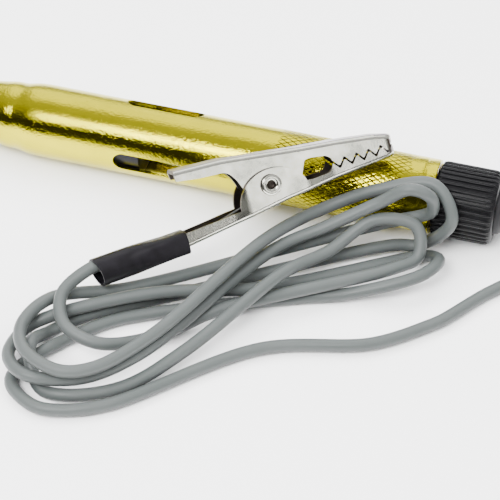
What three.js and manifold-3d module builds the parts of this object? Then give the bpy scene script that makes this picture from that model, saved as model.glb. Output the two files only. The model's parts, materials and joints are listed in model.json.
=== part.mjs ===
// A pocket circuit test light: a brass tube with a steel probe at its nose, a glass lamp seen through
// three slots, a ribbed cap that screws off the rear, and a cord that ends in a spring clip.
// Millimetres. The tube lies along X with its rear towards +X, and rests on z = 0.
import * as THREE from "three";
import { mergeVertices } from "three/addons/utils/BufferGeometryUtils.js";
import Module from "manifold-3d";

const wasm = await Module();
wasm.setup();

// Driving dimensions.
const GAP = 0.3; // running and resting gap between neighbours
const BARREL_R = 7.5;
const BARREL_WALL = 0.8;
const BARREL_REAR = 58;
const NOSE_TIP = -50;
const PROBE_TIP = -84;
const PROBE_R = 1.2;
const CAP_REAR = 70.5;
const CAP_RIBS = 36;
const SLOT = { middle: 1, length: 16, width: 4.1, angles: [181, 61, -59] };
const LAMP = { front: -8, rear: 19, glassR: 4.4, capR: 3.1 };
const GROMMET_END = 84;
const CORD_R = 1.25;
const CORE_R = 0.8;
const SHEET = 0.7; // thickness of the clip's steel
const TOOTH = { start: 13.1, pitch: 2.55, height: 1.3, count: 5, gap: 0.2 };
const RIVET = { shaftR: 1.25, headR: 2.1, holeR: 0.75, sheetHoleR: 1.6 };
const ROUND = 40; // sides of the large round pieces
const SMALL_ROUND = 20; // sides of the small ones

const FINISH = {
  brass: { color: 0xc9bd5c, roughness: 0.3, metalness: 1 },
  steel: { color: 0xb9b9b4, roughness: 0.25, metalness: 1 },
  nickel: { color: 0xc8c6bd, roughness: 0.28, metalness: 1 },
  blackPlastic: { color: 0x141416, roughness: 0.45, metalness: 0 },
  rubber: { color: 0x101012, roughness: 0.6, metalness: 0 },
  greyVinyl: { color: 0x6f7673, roughness: 0.5, metalness: 0 },
  whitePlastic: { color: 0xd8d6cd, roughness: 0.5, metalness: 0 },
  glass: { color: 0xe8f0f0, roughness: 0.05, metalness: 0 },
  copper: { color: 0xb3693a, roughness: 0.35, metalness: 1 },
};

const tool = new THREE.Group();
tool.position.z = BARREL_R; // the tube's axis
const clip = new THREE.Group();
const object = new THREE.Group();
object.add(tool, clip);

function addPiece(group, name, geometry, finish) {
  const mesh = new THREE.Mesh(geometry, new THREE.MeshStandardMaterial(FINISH[finish]));
  mesh.name = name;
  group.add(mesh);
  return mesh;
}

// A closed geometry as a solid that can be joined and cut.
function solid(geometry) {
  const bare = geometry.index ? geometry.toNonIndexed() : geometry.clone();
  bare.deleteAttribute("normal");
  bare.deleteAttribute("uv");
  const merged = mergeVertices(bare, 1e-4);
  return new wasm.Manifold(
    new wasm.Mesh({
      numProp: 3,
      vertProperties: merged.attributes.position.array,
      triVerts: new Uint32Array(merged.index.array),
    }),
  );
}

function geometryOf(body) {
  const mesh = body.getMesh();
  return new THREE.BufferGeometry()
    .setAttribute("position", new THREE.BufferAttribute(new Float32Array(mesh.vertProperties), 3))
    .setIndex(new THREE.BufferAttribute(new Uint32Array(mesh.triVerts), 1));
}

// A closed outline of [x, radius] points turned round the X axis.
function turned(outline, sides = ROUND) {
  const doubleArea = outline.reduce((sum, [x, r], i) => {
    const [nextX, nextR] = outline[(i + 1) % outline.length];
    return sum + x * nextR - nextX * r;
  }, 0);
  const ordered = doubleArea > 0 ? [...outline].reverse() : outline;
  const closed = ordered[0][1] > 0 || ordered.at(-1)[1] > 0 ? [...ordered, ordered[0]] : ordered;
  const profile = closed.map(([x, r]) => new THREE.Vector2(r, x));
  return new THREE.LatheGeometry(profile, sides).rotateZ(-Math.PI / 2);
}

// A pipe or ring between two stations, with square ends.
function ring(x0, x1, inner, outer, sides = ROUND) {
  return turned([[x0, inner], [x1, inner], [x1, outer], [x0, outer]], sides);
}

// A solid round bar between two stations.
function bar(x0, x1, r, sides = SMALL_ROUND) {
  return turned([[x0, 0], [x0, r], [x1, r], [x1, 0]], sides);
}

// Straight runs between points, for wires that bend at each point.
class PointPath extends THREE.CatmullRomCurve3 {
  getUtoTmapping(u) {
    return u;
  }
}

function wire(points, r, sides, steps = points.length - 1) {
  const section = new THREE.Shape();
  for (let i = 0; i < sides; i++) {
    const a = (i / sides) * 2 * Math.PI;
    section[i ? "lineTo" : "moveTo"](r * Math.cos(a), r * Math.sin(a));
  }
  const path = new PointPath(points.map((p) => new THREE.Vector3(...p)), false, "centripetal");
  return new THREE.ExtrudeGeometry(section, { steps, extrudePath: path });
}

// ---- The brass tube, with its shoulder, nose cone and three windows.

const BARREL_OUTLINE = [
  [BARREL_REAR, 7.5],
  [-24.5, 7.5],
  [-26.5, 7.35],
  [-28, 7.05],
  [-29, 6.88],
  [-31, 6.85],
  [-33, 6.57],
  [-35.5, 6.2],
  [-40, 5.35],
  [-45, 4.45],
  [NOSE_TIP, 3.6],
];

function barrel() {
  const inside = BARREL_OUTLINE.map(([x, r]) => [x, r - BARREL_WALL]).reverse();
  const tube = solid(turned([...BARREL_OUTLINE, ...inside]));
  const straight = (SLOT.length - SLOT.width) / 2;
  const window = new THREE.Shape();
  window.absarc(straight, 0, SLOT.width / 2, -Math.PI / 2, Math.PI / 2);
  window.absarc(-straight, 0, SLOT.width / 2, Math.PI / 2, 1.5 * Math.PI);
  const cutters = SLOT.angles.map((degrees) => {
    const cutter = new THREE.ExtrudeGeometry(window, { depth: 6, bevelEnabled: false, curveSegments: 8 });
    cutter.translate(SLOT.middle, 0, 4.5);
    cutter.rotateX(THREE.MathUtils.degToRad(degrees - 90));
    return solid(cutter);
  });
  return geometryOf(cutters.reduce((body, cutter) => body.subtract(cutter), tube));
}

addPiece(tool, "barrel", barrel(), "brass");

// ---- The nose: probe, its insulator, and the contact the lamp stands on.

const INSULATOR_REAR = -2;
const LAMP_SEAT = LAMP.front - 5; // the floor of the recess that holds the lamp's front end

function noseInsulator() {
  const body = BARREL_OUTLINE.filter(([x]) => x < -25 && x > NOSE_TIP).map(([x, r]) => [
    x,
    r - BARREL_WALL - GAP,
  ]);
  const front = NOSE_TIP - 3;
  return turned([
    [INSULATOR_REAR, 3.7],
    [INSULATOR_REAR, 6.4],
    [-24.5, 6.4],
    ...body,
    [NOSE_TIP, 2.5],
    [front + 0.6, 2.5],
    [front, 2],
    [front, PROBE_R + GAP],
    [LAMP_SEAT, PROBE_R + GAP],
    [LAMP_SEAT, 3.7],
  ]);
}

addPiece(tool, "nose_insulator", noseInsulator(), "blackPlastic");
addPiece(
  tool,
  "probe_needle",
  turned([[PROBE_TIP, 0], [-76, PROBE_R * 0.75], [-74, PROBE_R], [-13.6, PROBE_R], [-13.6, 0]], SMALL_ROUND),
  "steel",
);
addPiece(
  tool,
  "front_contact",
  turned([
    [LAMP.front - 4.9, 0],
    [LAMP.front - 4.9, 1.2],
    [LAMP.front - 3.5, 1.2],
    [LAMP.front - 3, 3.3],
    [LAMP.front - GAP, 3.3],
    [LAMP.front - GAP, 0],
  ], SMALL_ROUND),
  "brass",
);

// ---- The lamp: a glass tube with a metal cap on each end, and a filament between them.

addPiece(
  tool,
  "lamp_front_cap",
  turned([
    [LAMP.front, 0],
    [LAMP.front, 2.4],
    [LAMP.front + 0.8, LAMP.capR],
    [LAMP.front + 5.5, LAMP.capR],
    [LAMP.front + 5.5, 2.8],
    [LAMP.front + 1.2, 2.8],
    [LAMP.front + 1.2, 0],
  ], SMALL_ROUND),
  "nickel",
);
addPiece(
  tool,
  "lamp_rear_cap",
  turned([
    [LAMP.rear, 0],
    [LAMP.rear, 2.4],
    [LAMP.rear - 0.8, LAMP.capR],
    [LAMP.rear - 5.5, LAMP.capR],
    [LAMP.rear - 5.5, 2.8],
    [LAMP.rear - 1.2, 2.8],
    [LAMP.rear - 1.2, 0],
  ], SMALL_ROUND),
  "nickel",
);

function lampGlass() {
  const outer = [
    [LAMP.front + 2, 2.5],
    [LAMP.front + 6, 2.5],
    [LAMP.front + 7, 3.3],
    [LAMP.front + 8.5, 4.1],
    [LAMP.front + 10.5, LAMP.glassR],
    [LAMP.rear - 10.5, LAMP.glassR],
    [LAMP.rear - 8.5, 4.1],
    [LAMP.rear - 7, 3.3],
    [LAMP.rear - 6, 2.5],
    [LAMP.rear - 2, 2.5],
  ];
  const inner = outer.map(([x, r]) => [x, r - 0.4]).reverse();
  return turned([...outer, ...inner], 28);
}

addPiece(tool, "lamp_glass", lampGlass(), "glass");

// A wire with a shallow coil at its middle.
function filament() {
  const points = [[LAMP.front + 1.6, 0, 0], [LAMP.front + 9, 0, 0]];
  const turns = 6;
  const length = 6;
  for (let i = 0; i <= turns * 4; i++) {
    const a = (i / 4) * 2 * Math.PI;
    const x = LAMP.front + 10.5 + (i / (turns * 4)) * length;
    points.push([x, 0.7 * Math.sin(a), 0.7 * Math.cos(a)]);
  }
  points.push([LAMP.rear - 9, 0, 0], [LAMP.rear - 1.6, 0, 0]);
  return wire(points, 0.15, 5);
}

addPiece(tool, "lamp_filament", filament(), "steel");

// ---- Behind the lamp: contact cup, spring, terminal, and the lining that keeps them off the tube.

addPiece(
  tool,
  "rear_contact",
  turned([
    [LAMP.rear + GAP, 0],
    [LAMP.rear + GAP, 3.5],
    [LAMP.rear - 2, 3.5],
    [LAMP.rear - 2, 3.9],
    [LAMP.rear + 0.9, 3.9],
    [LAMP.rear + 0.9, 0],
  ], SMALL_ROUND),
  "brass",
);

function helix(x0, x1, r, turns, wireR) {
  const perTurn = 10;
  const points = [];
  for (let i = 0; i <= turns * perTurn; i++) {
    const a = (i / perTurn) * 2 * Math.PI;
    points.push([x0 + ((x1 - x0) * i) / (turns * perTurn), r * Math.sin(a), r * Math.cos(a)]);
  }
  return wire(points, wireR, 6);
}

addPiece(tool, "contact_spring", helix(20.7, 39.9, 2.6, 9, 0.35), "steel");
addPiece(
  tool,
  "terminal_disc",
  turned([[40.6, 0], [40.6, 5.4], [42, 5.4], [42, 2], [45.5, 2], [45.5, 1.15], [42.4, 1.15], [42.4, 0]], 28),
  "brass",
);
addPiece(
  tool,
  "rear_lining",
  turned([[14.5, 4.9], [42.3, 5.8], [46, 5.8], [46, 6.4], [14.5, 6.4]], 28),
  "whitePlastic",
);

// ---- The rear: threaded bush in the tube, cap, rubber strain relief and cord stop.

addPiece(
  tool,
  "thread_bush",
  turned([[46.8, 5.3], [BARREL_REAR, 5.3], [BARREL_REAR, 6.4], [46.8, 6.4]], 32),
  "brass",
);

const CAP_FRONT = BARREL_REAR + GAP;
const CAP_SEAT = { radius: 5.4, depth: 0.6 };

function rearCap() {
  const spigotR = 5;
  const bore = 3.2;
  const rearBore = 2.6;
  const seat = CAP_REAR - CAP_SEAT.depth; // the relief's flange lies in a shallow seat
  const body = solid(
    turned([
      [47.2, bore],
      [47.2, 4.6],
      [47.8, spigotR],
      [CAP_FRONT, spigotR],
      [CAP_FRONT, 6.9],
      [CAP_FRONT + 0.4, 7.25],
      [CAP_REAR - 0.9, 7.25],
      [CAP_REAR - 0.3, 6.9],
      [CAP_REAR, 6.4],
      [CAP_REAR, CAP_SEAT.radius],
      [seat, CAP_SEAT.radius],
      [seat, rearBore],
      [66, rearBore],
      [66, bore],
    ], 36),
  );
  const ribLength = CAP_REAR - 0.9 - (CAP_FRONT + 0.4);
  const rib = new THREE.BoxGeometry(ribLength, 0.62, 0.9);
  rib.translate(CAP_FRONT + 0.4 + ribLength / 2, 0, BARREL_R - 0.45);
  let ribbed = body;
  for (let i = 0; i < CAP_RIBS; i++) {
    ribbed = ribbed.add(solid(rib.clone().rotateX((i / CAP_RIBS) * 2 * Math.PI)));
  }
  return geometryOf(ribbed);
}

addPiece(tool, "rear_cap", rearCap(), "blackPlastic");

addPiece(
  tool,
  "cable_grommet",
  turned([
    [66.5, CORD_R + GAP],
    [66.5, 2.3],
    [CAP_REAR - CAP_SEAT.depth + GAP, 2.3],
    [CAP_REAR - CAP_SEAT.depth + GAP, 5],
    [CAP_REAR + 1.2, 4.9],
    [CAP_REAR + 1.9, 4.2],
    [CAP_REAR + 2.3, 3.2],
    [76, 2.8],
    [GROMMET_END - 0.4, 2.1],
    [GROMMET_END, 1.9],
    [GROMMET_END, CORD_R + GAP],
  ], 24),
  "rubber",
);
addPiece(tool, "cord_stop", ring(60.5, 63.5, CORD_R + GAP, 2.8, SMALL_ROUND), "nickel");
addPiece(tool, "stripped_core", bar(42.7, 56.7, CORE_R, 10), "copper");

// ---- The spring clip. Its own frame: x to the nose, y from the lower jaw to the upper, z to the viewer.

const CLIP_ORIGIN = new THREE.Vector3(27.16, -14.87, 17); // the middle of the rivet
const clipX = new THREE.Vector3(0.806, 0.589, 0.066).normalize();
const clipZ = clipX.clone().cross(new THREE.Vector3(-0.412, 0.477, 0.777)).normalize();
const clipY = clipZ.clone().cross(clipX);
clip.matrixAutoUpdate = false;
clip.matrix.makeBasis(clipX, clipY, clipZ).setPosition(CLIP_ORIGIN);

// Outer half width of each jaw at stations along its length.
const LOWER_WIDTH = [[-32, 1], [-25, 1.2], [-19.5, 2.45], [-8, 3.3], [-5, 3.8], [7, 3.8], [13, 3], [26, 2.4]];
const UPPER_WIDTH = [[-18, 3.2], [-9, 2.9], [7, 2.9], [13, 2.9], [26, 2.4]];

function widthAt(stations, x) {
  const next = stations.findIndex(([station]) => station >= x);
  if (next === 0) return stations[0][1];
  if (next < 0) return stations.at(-1)[1];
  const [x0, w0] = stations[next - 1];
  const [x1, w1] = stations[next];
  return w0 + ((w1 - w0) * (x - x0)) / (x1 - x0);
}

// The teeth as a zigzag, from the first valley to the nose.
function toothLine(shift) {
  const points = [];
  for (let i = 0; i <= TOOTH.count * 2; i++) {
    const y = (i % 2 ? -0.5 : 0.5) * TOOTH.height;
    points.push([TOOTH.start + (i * TOOTH.pitch) / 2, y - 0.05 + shift]);
  }
  return points;
}

function plate(outline, halfWidth) {
  const shape = new THREE.Shape(outline.map(([x, y]) => new THREE.Vector2(x, y)));
  const body = new THREE.ExtrudeGeometry(shape, { depth: 2 * halfWidth, bevelEnabled: false });
  return body.translate(0, 0, -halfWidth);
}

// A jaw is a folded sheet: an outline at full width, less a channel, then narrowed towards its ends.
function jaw({ outline, channel, holes, stations }) {
  const full = 1;
  let body = solid(plate(outline, full));
  body = body.subtract(solid(plate(channel, full - 0.2)));
  for (const hole of holes) body = body.subtract(solid(hole));
  const geometry = geometryOf(body);
  const position = geometry.attributes.position;
  for (let i = 0; i < position.count; i++) {
    const z = position.getZ(i);
    const outer = widthAt(stations, position.getX(i));
    const inner = outer - SHEET;
    const scaled = Math.abs(z) > full - 0.1 ? outer : inner;
    position.setZ(i, Math.sign(z) * scaled);
  }
  return geometry;
}

function rivetHole() {
  return new THREE.CylinderGeometry(RIVET.sheetHoleR, RIVET.sheetHoleR, 6, SMALL_ROUND).rotateX(Math.PI / 2);
}

const LOWER_BACK = [[-31, -8.1], [-24, -7.8], [-19.5, -7.35], [-6.9, -5.4], [2.6, -3.9], [13.5, -2.8], [24.6, -2.1]];
const LOWER_INSIDE = LOWER_BACK.map(([x, y]) => [x, y + SHEET]);

function earArc() {
  const points = [];
  const steps = 20;
  for (let i = 0; i <= steps; i++) {
    const a = ((19 + (161 * i) / steps) * Math.PI) / 180;
    points.push([0.4 + 7.2 * Math.cos(a), -3.4 + 6.45 * Math.sin(a)]);
  }
  return points;
}

function lowerJaw() {
  const ear = earArc();
  const outline = [
    ...LOWER_BACK,
    [25.6, -1.8],
    [26, -1],
    ...toothLine(-TOOTH.gap).reverse(),
    [12.6, -0.8],
    [11.6, -1.3],
    [8.6, -1.4],
    ...ear,
    [-8.5, -3.5],
    [-12.5, -3.9],
    [-18, -4.4],
    [-20.5, -5.3],
    [-24, -7.1],
    [-31, -7.4],
  ];
  const channel = [...LOWER_INSIDE, [24.9, 4], [-31.5, 4], [-31.5, -7.4]];
  return jaw({ outline, channel, holes: [rivetHole()], stations: LOWER_WIDTH });
}

const UPPER_BACK = [[25.9, 1.9], [25.2, 2.6], [22.7, 3.2], [14.6, 4.4], [7.4, 5.2], [-8.1, 7.3], [-17.2, 7.8]];

function upperJaw() {
  const inside = UPPER_BACK.slice(2).map(([x, y]) => [x, y - SHEET]);
  const knuckle = [];
  const steps = 10;
  for (let i = 0; i <= steps; i++) {
    const a = ((-160 + (130 * i) / steps) * Math.PI) / 180;
    knuckle.push([2.7 * Math.cos(a), 2.7 * Math.sin(a)]);
  }
  const outline = [
    ...UPPER_BACK,
    [-17.7, 6.9],
    [-17.4, 5.7],
    [-13.2, 5.1],
    [-8.4, 4.8],
    [-7.3, 4.3],
    [-6, 2.7],
    [-5.1, 0.2],
    [-4, -0.9],
    ...knuckle,
    [6.4, -0.8],
    [6.8, 0.2],
    [7.9, 2.6],
    [9, 2.6],
    [12.1, 2.1],
    [13, 1.4],
    ...toothLine(TOOTH.gap),
  ];
  const channel = [[24.9, 1.9], ...inside, [-18.5, 7.1], [-18.5, -6], [24.9, -6]];
  return jaw({ outline, channel, holes: [rivetHole()], stations: UPPER_WIDTH });
}

addPiece(clip, "clip_lower_jaw", lowerJaw(), "nickel");
addPiece(clip, "clip_upper_jaw", upperJaw(), "nickel");

// The rivet is a hollow eyelet, turned over at both ends.
function rivet() {
  const under = 4.05;
  const top = 4.6;
  return turned([
    [-top, RIVET.holeR],
    [-top, RIVET.headR - 0.3],
    [-top + 0.2, RIVET.headR],
    [-under, RIVET.headR],
    [-under, RIVET.shaftR],
    [under, RIVET.shaftR],
    [under, RIVET.headR],
    [top - 0.2, RIVET.headR],
    [top, RIVET.headR - 0.3],
    [top, RIVET.holeR],
  ], SMALL_ROUND).rotateY(-Math.PI / 2);
}

addPiece(clip, "clip_rivet", rivet(), "nickel");

// The torsion spring: its coil and lower leg stay, and its upper arm lies under the thumb lever.
function springCoil() {
  const r = 2.15;
  const turns = 3.5;
  const perTurn = 12;
  const points = [[-11, -4.75, -1.6], [-4, -2.95, -1.6]];
  for (let i = 0; i <= turns * perTurn; i++) {
    const a = (-110 * Math.PI) / 180 + (i / perTurn) * 2 * Math.PI;
    points.push([r * Math.cos(a), r * Math.sin(a), -1.6 + (3 * i) / (turns * perTurn)]);
  }
  return wire(points, 0.25, 6);
}

addPiece(clip, "clip_spring", springCoil(), "steel");
addPiece(clip, "clip_spring_arm", wire([[-0.6, 2.75, 1.4], [-6, 4.6, 1.2], [-12, 6.35, 1]], 0.25, 6), "steel");

// The sleeve: a shrunk tube, boxy over the clip's tail and round over the cord.
const SLEEVE_FRONT = -18.3;
const SLEEVE_REAR = -37.6;
const SLEEVE_WALL = 0.45;

function sleeve() {
  const lengthwise = 8;
  const outside = [];
  const inside = [];
  for (let i = 0; i <= lengthwise; i++) {
    const x = SLEEVE_REAR + ((SLEEVE_FRONT - SLEEVE_REAR) * i) / lengthwise;
    outside.push([x, 1]);
    inside.unshift([x, 0.5]);
  }
  const geometry = turned([...outside, ...inside], 28);
  const position = geometry.attributes.position;
  for (let i = 0; i < position.count; i++) {
    const x = position.getX(i);
    const y = position.getY(i);
    const z = position.getZ(i);
    const wall = Math.hypot(y, z) > 0.75 ? 0 : SLEEVE_WALL;
    const t = (x - SLEEVE_REAR) / (SLEEVE_FRONT - SLEEVE_REAR);
    const boxy = THREE.MathUtils.smoothstep(t, 0.35, 0.85);
    const halfHeight = THREE.MathUtils.lerp(2.85, 2.25, boxy) - wall;
    const halfWidth = THREE.MathUtils.lerp(2.85, 3.3, boxy) - wall;
    const power = THREE.MathUtils.lerp(2, 5, boxy);
    const angle = Math.atan2(y, z);
    const c = Math.abs(Math.cos(angle));
    const s = Math.abs(Math.sin(angle));
    const reach = (c ** power + s ** power) ** (-1 / power);
    const middle = THREE.MathUtils.lerp(-6.5, -5.85, t);
    position.setY(i, middle + Math.sin(angle) * reach * halfHeight);
    position.setZ(i, Math.cos(angle) * reach * halfWidth);
  }
  return geometry;
}

addPiece(clip, "clip_sleeve", sleeve(), "blackPlastic");
addPiece(clip, "clip_core", bar(-28.6, -23.5, CORE_R, 10).translate(0, -5.5, 0), "copper");

// ---- The cord, laid in four loops beside the tube, from inside the cap to inside the sleeve.

const CORD_ROUTE = [
  // out of the cap, down to the floor and round towards the clip
  [57, 0, 7.5], [88, 0, 7.5], [94, 0, 7.4], [99.5, -0.8, 6.5], [103.5, -3.4, 4.6], [104.5, -7.6, 2.7],
  [101.5, -11.4, 1.5], [96, -13, 1.3], [89, -12.6, 1.3], [82, -12, 1.3], [76.5, -13.2, 1.3],
  [72.5, -17, 1.3],
  // along the floor to the far left of the loops
  [65.5, -26.5, 1.5], [63.5, -28.5, 1.5], [54, -36, 1.5], [34, -43, 1.5], [10.5, -64, 1.5],
  [3, -67.5, 1.5], [-2.5, -68, 1.5], [-8.5, -64, 1.5], [-8.5, -60, 1.5],
  // first loop
  [3, -45.5, 1.5], [11.5, -40, 1.5], [38.5, -28, 1.5], [46, -25.5, 2], [59.5, -20, 5.5],
  [62, -15, 5], [61, -12.5, 3.5], [58, -11.5, 2], [30.5, -28, 2], [11, -38, 5], [-6, -48, 4],
  [-10, -51.5, 3], [-10.5, -59.5, 4], [-5.5, -64, 5], [4, -61, 3.5],
  // second loop, over the first and up to the tube
  [13, -54, 5], [31, -22, 7], [39.5, -16, 9.5], [49, -11, 14], [54.5, -10, 18], [58.5, -9.5, 16.5],
  [59, -9, 12.5], [57.5, -8.5, 10.5], [50.5, -10, 8],
  // third loop, its far end resting on the tube
  [33, -18.5, 4.5], [6, -36.5, 3.5], [-7, -45.5, 6], [-9.5, -54.5, 7], [-6.5, -60.5, 7.5],
  [1, -63, 7], [7, -60.5, 7], [15, -51, 8], [29.5, -22.5, 10], [38.5, -10.5, 9.5], [48, -7, 13.5],
  [58.5, -5.5, 16], [63, -9, 11], [57, -9, 2.5], [52, -10.5, 2.5],
  // fourth loop
  [16, -33, 1.5], [-1, -44.5, 1.5], [-6, -50, 1.5], [-7, -57, 5], [-3, -63.5, 1.5], [2, -64, 1.5],
  [12, -59, 1.5], [21, -49.5, 4], [34.5, -28, 7.5], [41, -19.5, 6.5], [48.5, -12.5, 10.5],
  [56.5, -11.5, 10], [58, -15.5, 6], [54, -19, 5],
  // over the others, back and up into the sleeve
  [24, -37.5, 3.5], [14.5, -45, 1.5], [5, -53, 5], [-2, -51.5, 6.5], [-4.5, -45.5, 8],
];
const CORD_END = [[-37.6, -5.7], [-33.5, -5.55], [-29.2, -5.5]]; // in the clip's frame

const cordEnd = CORD_END.map(([x, y]) => new THREE.Vector3(x, y, 0).applyMatrix4(clip.matrix).toArray());
addPiece(object, "cord", wire([...CORD_ROUTE, ...cordEnd], CORD_R, 8), "greyVinyl");

export default object;
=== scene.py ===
"""A pocket circuit test light: brass tube, probe, lamp, ribbed cap, cord and spring clip."""
import json
import logging
import math
from collections.abc import Callable, Sequence
from dataclasses import dataclass, field
from enum import Enum

import bmesh
import bpy
import numpy as np
from mathutils import Matrix, Vector

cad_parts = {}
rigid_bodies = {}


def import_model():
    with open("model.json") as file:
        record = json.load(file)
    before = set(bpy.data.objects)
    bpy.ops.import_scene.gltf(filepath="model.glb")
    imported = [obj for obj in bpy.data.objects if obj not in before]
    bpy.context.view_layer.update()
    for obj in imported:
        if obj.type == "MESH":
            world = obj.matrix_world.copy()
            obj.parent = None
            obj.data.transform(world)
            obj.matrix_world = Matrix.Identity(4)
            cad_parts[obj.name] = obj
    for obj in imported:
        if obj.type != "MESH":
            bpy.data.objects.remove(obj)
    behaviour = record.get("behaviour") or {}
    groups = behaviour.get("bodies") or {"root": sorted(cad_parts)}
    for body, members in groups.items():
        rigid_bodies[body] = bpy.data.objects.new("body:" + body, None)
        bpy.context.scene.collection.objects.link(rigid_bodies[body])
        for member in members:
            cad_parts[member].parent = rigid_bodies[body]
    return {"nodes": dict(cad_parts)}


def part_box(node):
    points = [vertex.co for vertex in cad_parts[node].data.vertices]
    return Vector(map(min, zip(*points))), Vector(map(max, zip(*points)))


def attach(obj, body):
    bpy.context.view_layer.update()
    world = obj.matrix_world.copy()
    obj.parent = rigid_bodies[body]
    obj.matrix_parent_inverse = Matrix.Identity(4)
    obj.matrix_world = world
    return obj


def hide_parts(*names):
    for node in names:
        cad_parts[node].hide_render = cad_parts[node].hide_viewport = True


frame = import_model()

LOG = logging.getLogger("test_light")
MM = 0.001
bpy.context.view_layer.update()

Point = tuple[float, float, float]
Station = tuple[float, float]
Colour = tuple[float, float, float]

AXIS_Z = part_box("barrel")[1][2] / 2 / MM  # height of the tube's axis
BARREL_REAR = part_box("barrel")[1][0] / MM
BARREL_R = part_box("barrel")[1][1] / MM
CAP_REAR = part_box("rear_cap")[1][0] / MM
RELIEF_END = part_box("cable_grommet")[1][0] / MM
PROBE_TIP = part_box("probe_needle")[0][0] / MM


# ---------------------------------------------------------------- outlines and meshes


def fillet(points: Sequence[Station], radius: float, steps: int = 4, closed: bool = True) -> list[Station]:
    """Rounds the corners of an outline.

    Args:
        points: The outline's corners.
        radius: The largest rounding, which short edges reduce.
        steps: Segments in each rounded corner.
        closed: Whether the last corner joins the first.

    Returns:
        The outline with its corners replaced by short arcs.
    """
    out: list[Station] = []
    count = len(points)
    for i, corner in enumerate(points):
        if not closed and i in (0, count - 1):
            out.append(corner)
            continue
        here = Vector(corner)
        before = Vector(points[i - 1]) - here
        after = Vector(points[(i + 1) % count]) - here
        reach = min(radius, before.length * 0.45, after.length * 0.45)
        start = here + before.normalized() * reach
        end = here + after.normalized() * reach
        for k in range(steps + 1):
            t = k / steps
            spot = start * (1 - t) ** 2 + here * 2 * t * (1 - t) + end * t**2
            out.append((spot.x, spot.y))
    return out


def smooth_line(points: Sequence[Sequence[float]], spacing: float) -> np.ndarray:
    """Samples a smooth curve that passes through every point.

    Args:
        points: The points, in two or three dimensions.
        spacing: The rough distance between samples.

    Returns:
        The samples, one row each.
    """
    given = np.array(points, float)
    ends = np.vstack([2 * given[0] - given[1], given, 2 * given[-1] - given[-2]])
    samples = []
    for p0, p1, p2, p3 in zip(ends, ends[1:], ends[2:], ends[3:]):
        knots = np.cumsum([0.0] + [max(np.linalg.norm(b - a), 1e-9) ** 0.5 for a, b in
                                   ((p0, p1), (p1, p2), (p2, p3))])
        steps = max(2, int(np.linalg.norm(p2 - p1) / spacing))
        for t in np.linspace(knots[1], knots[2], steps, endpoint=False):
            level = [p0, p1, p2, p3]
            for width in (1, 2):
                level = [
                    (a * (knots[k + width] - t) + b * (t - knots[k])) / (knots[k + width] - knots[k])
                    for k, (a, b) in enumerate(zip(level, level[1:]))
                ]
            span = knots[2] - knots[1]
            samples.append((level[0] * (knots[2] - t) + level[1] * (t - knots[1])) / span)
    samples.append(given[-1])
    return np.array(samples)


def add_object(name: str, verts: Sequence[Sequence[float]], faces: Sequence[Sequence[int]],
               place: Matrix | None = None, sharp: float = 40) -> bpy.types.Object:
    """Makes an object from faces, with its normals out and its curved faces smooth.

    Args:
        name: The piece's name.
        verts: Corner points in millimetres.
        faces: Corner numbers of each face.
        place: Turns and moves the millimetre points; the tube's own frame when absent.
        sharp: The angle in degrees past which an edge stays sharp.

    Returns:
        The new object, in metres at the origin.
    """
    mesh = bpy.data.meshes.new(name)
    mesh.from_pydata([tuple(map(float, v)) for v in verts], [], [list(f) for f in faces])
    mesh.transform(place if place is not None else Matrix.Translation((0, 0, AXIS_Z)))
    mesh.transform(Matrix.Scale(MM, 4))
    finish_mesh(mesh, sharp)
    return place_object(name, mesh)


def place_object(name: str, data: bpy.types.ID) -> bpy.types.Object:
    """Puts a mesh, lamp or camera in the scene as an object and returns it."""
    thing = bpy.data.objects.new(name, data)
    bpy.context.scene.collection.objects.link(thing)
    return thing


def finish_mesh(mesh: bpy.types.Mesh, sharp: float) -> None:
    """Merges doubles, turns the faces out and shades them smooth up to the sharp angle."""
    work = bmesh.new()
    work.from_mesh(mesh)
    bmesh.ops.remove_doubles(work, verts=work.verts, dist=1e-7)
    bmesh.ops.recalc_face_normals(work, faces=work.faces)
    work.to_mesh(mesh)
    work.free()
    mesh.polygons.foreach_set("use_smooth", [True] * len(mesh.polygons))
    mesh.set_sharp_from_angle(angle=math.radians(sharp))


def ring_faces(rows: int, sides: int, joined: bool = False) -> list[tuple]:
    """Gives the faces of a tube of rings.

    Args:
        rows: How many rings there are.
        sides: How many points each ring has.
        joined: Whether the last ring joins the first, instead of both ends being closed.

    Returns:
        Point numbers of each face.
    """
    faces: list[tuple] = []
    for i in range(rows if joined else rows - 1):
        a, b = i * sides, (i + 1) % rows * sides
        faces += [(a + k, a + (k + 1) % sides, b + (k + 1) % sides, b + k) for k in range(sides)]
    if not joined:
        faces += [tuple(range(sides))[::-1], tuple(range((rows - 1) * sides, rows * sides))]
    return faces


def revolve(profile: Sequence[Station], sides: int, closed: bool = True) -> tuple[list[Point], list[tuple]]:
    """Turns a profile of (x, radius) points round the X axis.

    Args:
        profile: The profile, whose ends may lie on the axis.
        sides: How many steps go round.
        closed: Whether the last point joins the first.

    Returns:
        The points and the faces.
    """
    verts: list[Point] = []
    rings: list[list[int]] = []
    for x, r in profile:
        start = len(verts)
        if r < 1e-6:
            verts.append((x, 0, 0))
            rings.append([start])
            continue
        for i in range(sides):
            a = 2 * math.pi * i / sides
            verts.append((x, r * math.cos(a), r * math.sin(a)))
        rings.append(list(range(start, start + sides)))
    pairs = list(zip(rings, rings[1:]))
    if closed:
        pairs.append((rings[-1], rings[0]))
    faces = []
    for a, b in pairs:
        if len(a) == 1 and len(b) == 1:
            continue
        for i in range(sides):
            j = (i + 1) % sides
            ring = [a[i % len(a)], a[j % len(a)], b[j % len(b)], b[i % len(b)]]
            faces.append(tuple(dict.fromkeys(ring)))
    return verts, faces


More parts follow.
